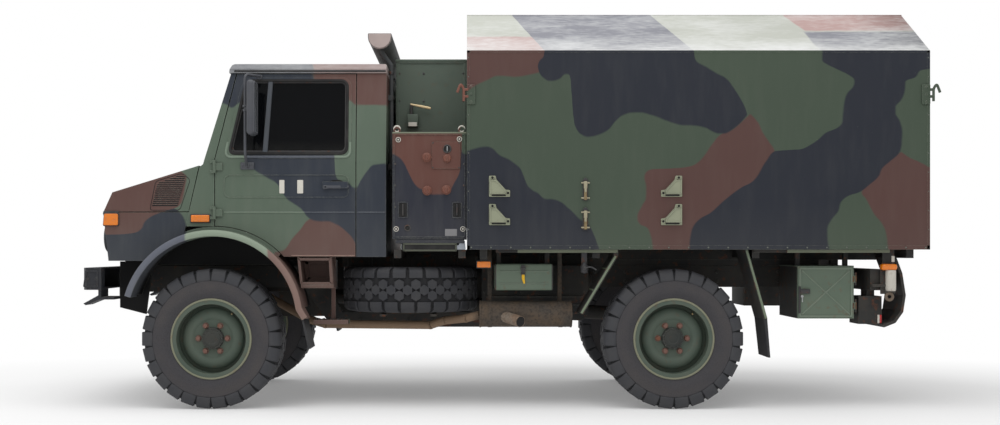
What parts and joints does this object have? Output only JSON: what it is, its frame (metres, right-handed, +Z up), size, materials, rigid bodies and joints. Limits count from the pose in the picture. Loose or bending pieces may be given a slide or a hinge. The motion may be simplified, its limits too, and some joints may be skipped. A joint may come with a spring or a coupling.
{
  "type": "military cargo truck",
  "caption": "High four-wheel-drive truck with a short bonnet, two-door cab, flat spare wheel, generator behind the cab and a closed shelter body with a sloped roof.",
  "frame": {"origin": "on the ground, under the middle of the length and width", "axes": "-X is the front of the truck, -Y its left side, +Z up"},
  "size_m": [6.0265, 2.58, 2.8593],
  "materials": {
    "camouflage_paint": "matt three-colour camouflage",
    "chassis_paint": "dull dark chassis paint",
    "bare_steel": "oily cast metal",
    "exhaust_steel": "rusty sheet steel",
    "rubber": "dull rubber sheet",
    "tyre_rubber": "dusty tyre rubber",
    "rim_paint": "matt green paint",
    "clear_lens": "clear ribbed lens",
    "amber_lens": "amber lens",
    "window_glass": "clear flat glass",
    "seat_cloth": "woven dark cloth",
    "black_plastic": "grained black plastic",
    "fitting_paint": "pale green paint"
  },
  "bodies": {
    "chassis": {"frame_rails": "chassis_paint", "frame_crossmembers": "chassis_paint", "subframe": "chassis_paint", "front_bumper": "chassis_paint", "rear_beam": "chassis_paint", "front_axle": "chassis_paint", "rear_axle": "chassis_paint", "springs": "bare_steel", "powertrain": "bare_steel", "exhaust": "exhaust_steel", "fuel_tank": "chassis_paint", "spare_tyre": "tyre_rubber", "spare_rim": "rim_paint", "spare_carrier": "chassis_paint", "side_lockers": "camouflage_paint", "rear_mudguards": "chassis_paint", "mud_flaps": "rubber", "front_wings": "camouflage_paint", "front_panel": "camouflage_paint", "lamps": "clear_lens", "indicators": "amber_lens", "cab_floor": "chassis_paint", "cab_front": "camouflage_paint", "cab_back": "camouflage_paint", "cab_roof": "camouflage_paint", "cab_glass": "window_glass", "cab_steps": "chassis_paint", "seats": "seat_cloth", "dashboard": "black_plastic", "stowage_trough": "camouflage_paint", "generator": "camouflage_paint", "equipment_unit": "camouflage_paint", "shelter_floor": "camouflage_paint", "shelter_sides": "camouflage_paint", "shelter_front": "camouflage_paint", "shelter_rear": "camouflage_paint", "shelter_roof": "camouflage_paint", "shelter_fittings": "fitting_paint"},
    "knuckle_left": {"knuckle_left": "chassis_paint"},
    "knuckle_right": {"knuckle_right": "chassis_paint"},
    "tie_rod": {"tie_rod": "bare_steel"},
    "wheel_front_left": {"tyre_front_left": "tyre_rubber", "rim_front_left": "rim_paint"},
    "wheel_front_right": {"tyre_front_right": "tyre_rubber", "rim_front_right": "rim_paint"},
    "wheel_rear_left": {"tyre_rear_left": "tyre_rubber", "rim_rear_left": "rim_paint"},
    "wheel_rear_right": {"tyre_rear_right": "tyre_rubber", "rim_rear_right": "rim_paint"},
    "door_left": {"door_left": "camouflage_paint", "door_glass_left": "window_glass", "mirror_left": "black_plastic"},
    "door_right": {"door_right": "camouflage_paint", "door_glass_right": "window_glass", "mirror_right": "black_plastic"},
    "bonnet": {"bonnet": "camouflage_paint"},
    "shelter_door": {"shelter_door": "camouflage_paint"},
    "locker_door": {"locker_door": "camouflage_paint"},
    "steering_wheel": {"steering_wheel": "black_plastic"}
  },
  "joints": [
    {"name": "steer_left", "type": "hinge", "parent": "chassis", "child": "knuckle_left", "pos_m": [-2.1, -0.79, 0.594], "axis": [0, 0, 1], "range_deg": [-32, 32]},
    {"name": "steer_right", "type": "hinge", "parent": "chassis", "child": "knuckle_right", "pos_m": [-2.1, 0.79, 0.594], "axis": [0, 0, 1], "range_deg": [-32, 32]},
    {"name": "tie_rod_turn", "type": "hinge", "parent": "knuckle_left", "child": "tie_rod", "pos_m": [-1.95, -0.79, 0.439], "axis": [0, 0, 1], "range_deg": [-32, 32]},
    {"name": "steering_wheel_turn", "type": "hinge", "parent": "chassis", "child": "steering_wheel", "pos_m": [-1.76, -0.48, 1.74], "axis": [0.6, 0, 0.8], "range_deg": [-480, 480]},
    {"name": "spin_front_left", "type": "hinge", "parent": "knuckle_left", "child": "wheel_front_left", "pos_m": [-2.1, -0.93, 0.494], "axis": [0, 1, 0], "continuous": true},
    {"name": "spin_front_right", "type": "hinge", "parent": "knuckle_right", "child": "wheel_front_right", "pos_m": [-2.1, 0.93, 0.494], "axis": [0, 1, 0], "continuous": true},
    {"name": "spin_rear_left", "type": "hinge", "parent": "chassis", "child": "wheel_rear_left", "pos_m": [1.15, -0.93, 0.494], "axis": [0, 1, 0], "continuous": true},
    {"name": "spin_rear_right", "type": "hinge", "parent": "chassis", "child": "wheel_rear_right", "pos_m": [1.15, 0.93, 0.494], "axis": [0, 1, 0], "continuous": true},
    {"name": "door_left_hinge", "type": "hinge", "parent": "chassis", "child": "door_left", "pos_m": [-2.079, -1.064, 1.55], "axis": [0, 0, -1], "range_deg": [0, 70]},
    {"name": "door_right_hinge", "type": "hinge", "parent": "chassis", "child": "door_right", "pos_m": [-2.079, 1.064, 1.55], "axis": [0, 0, 1], "range_deg": [0, 70]},
    {"name": "bonnet_hinge", "type": "hinge", "parent": "chassis", "child": "bonnet", "pos_m": [-2.18, 0, 1.726], "axis": [0, 1, 0], "range_deg": [0, 55]},
    {"name": "shelter_door_hinge", "type": "hinge", "parent": "chassis", "child": "shelter_door", "pos_m": [2.934, -0.384, 1.775], "axis": [0, 0, -1], "range_deg": [0, 170]},
    {"name": "locker_door_hinge", "type": "hinge", "parent": "chassis", "child": "locker_door", "pos_m": [2.443, -1.008, 0.82], "axis": [0, 0, 1], "range_deg": [0, 100]}
  ],
  "couplings": [
    {"joint": "steer_right", "follows": "steer_left", "ratio": 1},
    {"joint": "tie_rod_turn", "follows": "steer_left", "ratio": -1},
    {"joint": "steering_wheel_turn", "follows": "steer_left", "ratio": 15}
  ]
}
